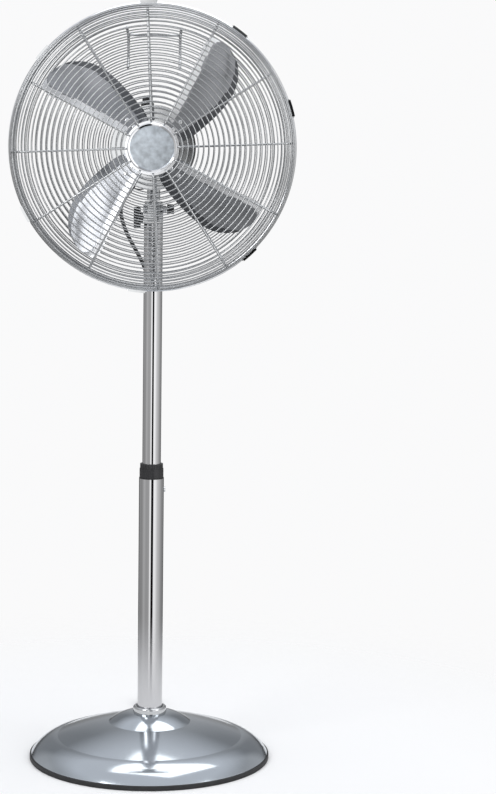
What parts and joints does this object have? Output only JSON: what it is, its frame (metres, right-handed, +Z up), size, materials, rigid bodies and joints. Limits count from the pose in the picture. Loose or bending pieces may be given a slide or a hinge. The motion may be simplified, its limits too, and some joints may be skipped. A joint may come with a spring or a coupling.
{
  "type": "pedestal fan",
  "caption": "Chrome pedestal fan with a round weighted base, telescopic pole, tilting and swinging motor head, wire guards and pitched metal blades.",
  "frame": {"origin": "on the floor, on the pole's axis, which is the centre of the round base", "axes": "+Z up along the pole; the fan blows towards -Y; +X is to the right when looking at the fan's front"},
  "size_m": [0.44, 0.5455, 1.2092],
  "materials": {
    "chrome_steel": "bright chrome plate",
    "satin_steel": "satin",
    "blade_alloy": "satin",
    "black_plastic": "fine moulded grain",
    "black_rubber": "matt",
    "cord_sheath": "matt",
    "cast_weight": "rough casting",
    "lamination": "dull",
    "winding": "enamelled wire",
    "gear_brass": "machined",
    "grey_plastic": "moulded"
  },
  "bodies": {
    "stand": {"base_cover": "chrome_steel", "base_weight": "cast_weight", "base_rim": "black_rubber", "base_bolt": "satin_steel", "pole_socket": "satin_steel", "foot_ring": "chrome_steel", "outer_tube": "chrome_steel", "tube_bush": "black_plastic", "bush_screw": "chrome_steel", "clamp_collet": "black_plastic", "cord_lower": "cord_sheath", "cord_hank": "cord_sheath", "hank_tie": "black_plastic", "plug": "black_plastic"},
    "collar": {"lock_collar": "black_plastic"},
    "inner_pole": {"inner_tube": "chrome_steel", "tube_foot": "black_plastic", "fork_bracket": "chrome_steel", "pivot_bolt": "satin_steel", "pivot_cap": "black_plastic", "cord_middle": "cord_sheath"},
    "tilt_lock": {"tilt_knob": "black_plastic"},
    "neck": {"neck_block": "chrome_steel"},
    "head": {"rear_housing": "chrome_steel", "front_cover": "chrome_steel", "stator": "lamination", "windings": "winding", "motor_bearings": "satin_steel", "gearbox_case": "grey_plastic", "capacitor": "grey_plastic", "rotary_switch": "grey_plastic", "head_screws": "satin_steel", "cord_gland": "black_plastic", "earth_lead": "cord_sheath", "rear_guard": "chrome_steel", "guard_plate": "chrome_steel", "carry_handle": "chrome_steel", "rim_hoop": "chrome_steel", "front_guard": "chrome_steel", "badge_ring": "chrome_steel", "badge_disc": "satin_steel", "cord_upper": "cord_sheath", "swivel_boss": "chrome_steel"},
    "fan": {"motor_shaft": "satin_steel", "rotor": "lamination", "blade_spider": "satin_steel", "blades": "blade_alloy", "blade_rivets": "satin_steel", "blade_nut": "black_plastic"},
    "gear": {"worm_wheel": "gear_brass"},
    "link": {"link_arm": "satin_steel"},
    "swing_button": {"osc_knob": "black_plastic"},
    "speed_dial": {"speed_knob": "black_plastic"},
    "clip_1": {"guard_clip_1": "chrome_steel"},
    "clip_2": {"guard_clip_2": "chrome_steel"},
    "clip_3": {"guard_clip_3": "chrome_steel"},
    "clip_4": {"guard_clip_4": "chrome_steel"},
    "clip_5": {"guard_clip_5": "chrome_steel"},
    "clip_6": {"guard_clip_6": "chrome_steel"},
    "clip_7": {"guard_clip_7": "chrome_steel"}
  },
  "joints": [
    {"name": "height_slide", "type": "slide", "parent": "stand", "child": "inner_pole", "axis": [0, 0, 1], "range_m": [-0.28, 0], "deforming": ["cord_lower", "cord_middle"]},
    {"name": "collar_turn", "type": "hinge", "parent": "stand", "child": "collar", "pos_m": [0, 0, 0.47], "axis": [0, 0, 1], "range_deg": [-90, 0]},
    {"name": "tilt_knob_turn", "type": "hinge", "parent": "inner_pole", "child": "tilt_lock", "pos_m": [-0.02, 0, 0.876], "axis": [1, 0, 0], "range_deg": [-180, 0]},
    {"name": "tilt", "type": "hinge", "parent": "inner_pole", "child": "neck", "pos_m": [0, 0, 0.89], "axis": [-1, 0, 0], "range_deg": [-15, 20], "deforming": ["cord_upper", "cord_middle"]},
    {"name": "oscillation", "type": "hinge", "parent": "neck", "child": "head", "pos_m": [0, 0, 0.918], "axis": [0, 0, 1], "range_deg": [-40, 40], "deforming": ["cord_upper"]},
    {"name": "fan_spin", "type": "hinge", "parent": "head", "child": "fan", "pos_m": [0, -0.05, 0.987], "axis": [0, -1, 0], "continuous": true},
    {"name": "worm_turn", "type": "hinge", "parent": "head", "child": "gear", "pos_m": [-0.012, 0.06, 0.987], "axis": [0, 0, 1], "continuous": true},
    {"name": "link_turn", "type": "hinge", "parent": "gear", "child": "link", "pos_m": [-0.006, 0.06, 0.9625], "axis": [0, 0, 1], "continuous": true},
    {"name": "swing_button_pull", "type": "slide", "parent": "head", "child": "swing_button", "axis": [0, 0, 1], "range_m": [0, 0.008]},
    {"name": "speed_turn", "type": "hinge", "parent": "head", "child": "speed_dial", "pos_m": [-0.04534, 0.044, 1.02928], "axis": [-0.7314, 0, 0.682], "range_deg": [0, 90]},
    {"name": "clip_hinge_1", "type": "hinge", "parent": "head", "child": "clip_1", "pos_m": [-0.00766, -0.1042, 1.20627], "axis": [-0.9994, 0, -0.0349], "range_deg": [0, 100]},
    {"name": "clip_hinge_2", "type": "hinge", "parent": "head", "child": "clip_2", "pos_m": [-0.16807, -0.1042, 1.12803], "axis": [-0.6428, 0, -0.766], "range_deg": [0, 100]},
    {"name": "clip_hinge_3", "type": "hinge", "parent": "head", "child": "clip_3", "pos_m": [-0.19372, -0.1042, 0.884], "axis": [0.4695, 0, -0.8829], "range_deg": [0, 100]},
    {"name": "clip_hinge_4", "type": "hinge", "parent": "head", "child": "clip_4", "pos_m": [-0.02293, -0.1042, 0.7688], "axis": [0.9945, 0, -0.1045], "range_deg": [0, 100]},
    {"name": "clip_hinge_5", "type": "hinge", "parent": "head", "child": "clip_5", "pos_m": [0.14963, -0.1042, 0.82654], "axis": [0.7314, 0, 0.682], "range_deg": [0, 100]},
    {"name": "clip_hinge_6", "type": "hinge", "parent": "head", "child": "clip_6", "pos_m": [0.21036, -0.1042, 1.04931], "axis": [-0.284, 0, 0.9588], "range_deg": [0, 100]},
    {"name": "clip_hinge_7", "type": "hinge", "parent": "head", "child": "clip_7", "pos_m": [0.1305, -0.1042, 1.16337], "axis": [-0.8039, 0, 0.5948], "range_deg": [0, 100]}
  ],
  "couplings": [
    {"joint": "worm_turn", "follows": "fan_spin", "ratio": -0.05},
    {"joint": "link_turn", "follows": "fan_spin", "ratio": 0.05}
  ]
}
